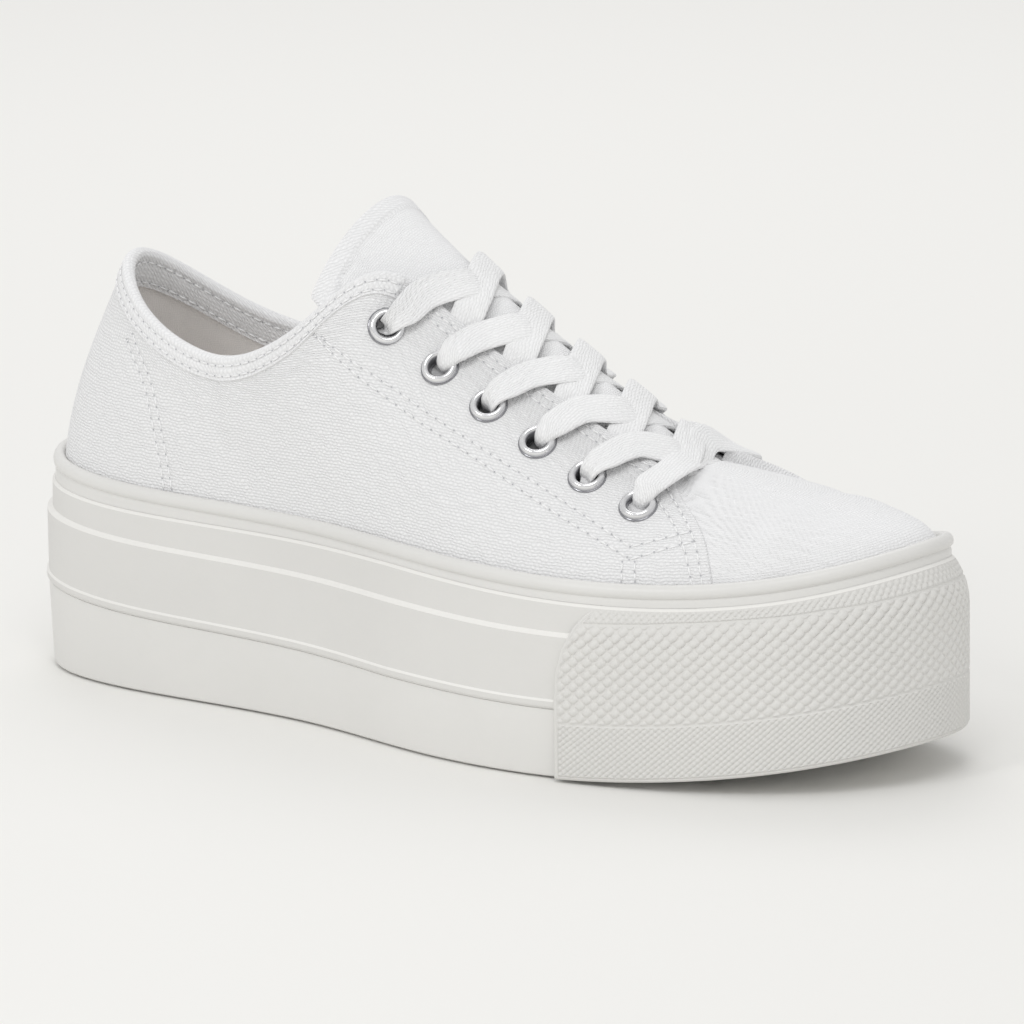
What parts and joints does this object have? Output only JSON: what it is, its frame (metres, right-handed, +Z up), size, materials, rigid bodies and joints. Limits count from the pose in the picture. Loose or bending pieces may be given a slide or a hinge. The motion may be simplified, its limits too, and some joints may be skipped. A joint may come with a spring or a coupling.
{
  "type": "platform sneaker",
  "caption": "Low lace-up canvas sneaker for the right foot on a thick rubber platform sole, with a textured toe bumper, a loose tongue and ringed eyelets.",
  "frame": {"origin": "on the floor, under the middle of the shoe's box", "axes": "+X towards the toe, +Y towards the wearer's left, which is the inner (medial) side of this right shoe, +Z up"},
  "size_m": [0.2766, 0.1006, 0.1338],
  "materials": {
    "sole_rubber": "matt off-white foxing and sole rubber",
    "welt_rubber": "matt off-white rubber strip with a raised bead",
    "bumper_rubber": "matt off-white rubber moulded with raised diamonds",
    "canvas": "bright white cotton canvas, fine weave",
    "lining": "warm grey-white cotton drill lining",
    "lace": "flat white cotton lace with a lengthwise rib",
    "eyelet_metal": "rolled nickel-coloured metal"
  },
  "bodies": {
    "root": {"outsole": "sole_rubber", "midsole": "sole_rubber", "welt": "welt_rubber", "toe_bumper": "bumper_rubber", "insole": "lining", "upper": "canvas", "tongue": "canvas", "lace_bar": "lace", "lace_crossing_1": "lace", "lace_crossing_2": "lace", "lace_crossing_3": "lace", "lace_crossing_4": "lace", "lace_crossing_5": "lace", "eyelet_outer_1": "eyelet_metal", "eyelet_outer_2": "eyelet_metal", "eyelet_outer_3": "eyelet_metal", "eyelet_outer_4": "eyelet_metal", "eyelet_outer_5": "eyelet_metal", "eyelet_outer_6": "eyelet_metal", "eyelet_inner_1": "eyelet_metal", "eyelet_inner_2": "eyelet_metal", "eyelet_inner_3": "eyelet_metal", "eyelet_inner_4": "eyelet_metal", "eyelet_inner_5": "eyelet_metal", "eyelet_inner_6": "eyelet_metal"}
  },
  "joints": []
}
